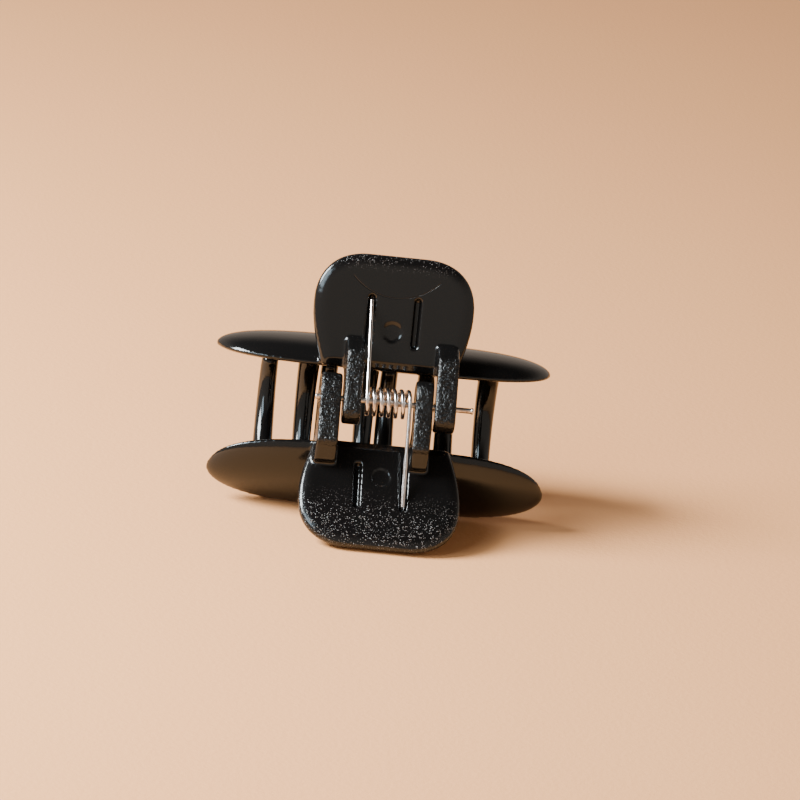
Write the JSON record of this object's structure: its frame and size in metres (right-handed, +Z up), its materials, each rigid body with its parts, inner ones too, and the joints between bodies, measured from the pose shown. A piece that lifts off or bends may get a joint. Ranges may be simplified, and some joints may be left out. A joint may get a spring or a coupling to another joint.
{
  "type": "claw clip",
  "caption": "Spring-closed hair claw clip: two domed jaws with round interlocking teeth and flat handles, hinged on a steel pin.",
  "frame": {"origin": "middle of the base of the closed clip's box, on the surface that the clip lies on", "axes": "+X along the hinge pin towards its long free end, +Y from the handles towards the teeth, +Z up as the clip lies on the lower handle's end and the lower shell's back"},
  "size_m": [0.062, 0.0428, 0.0471],
  "materials": {
    "upper_plastic": "glossy black injection moulding",
    "lower_plastic": "glossy black injection moulding, lightly speckled inside the handle",
    "pin_steel": "drawn steel",
    "spring_steel": "bright drawn spring wire"
  },
  "bodies": {
    "lower_half": {"lower_jaw": "lower_plastic", "hinge_pin": "pin_steel", "torsion_spring": "spring_steel"},
    "upper_half": {"upper_jaw": "upper_plastic"}
  },
  "joints": [
    {"name": "jaw_hinge", "type": "hinge", "parent": "lower_half", "child": "upper_half", "pos_m": [0, -0.00507, 0.02329], "axis": [1, 0, 0], "range_deg": [0, 90], "stiffness_Nm_per_rad": 0.06, "springref_deg": -68.75, "deforming": ["torsion_spring"]}
  ]
}
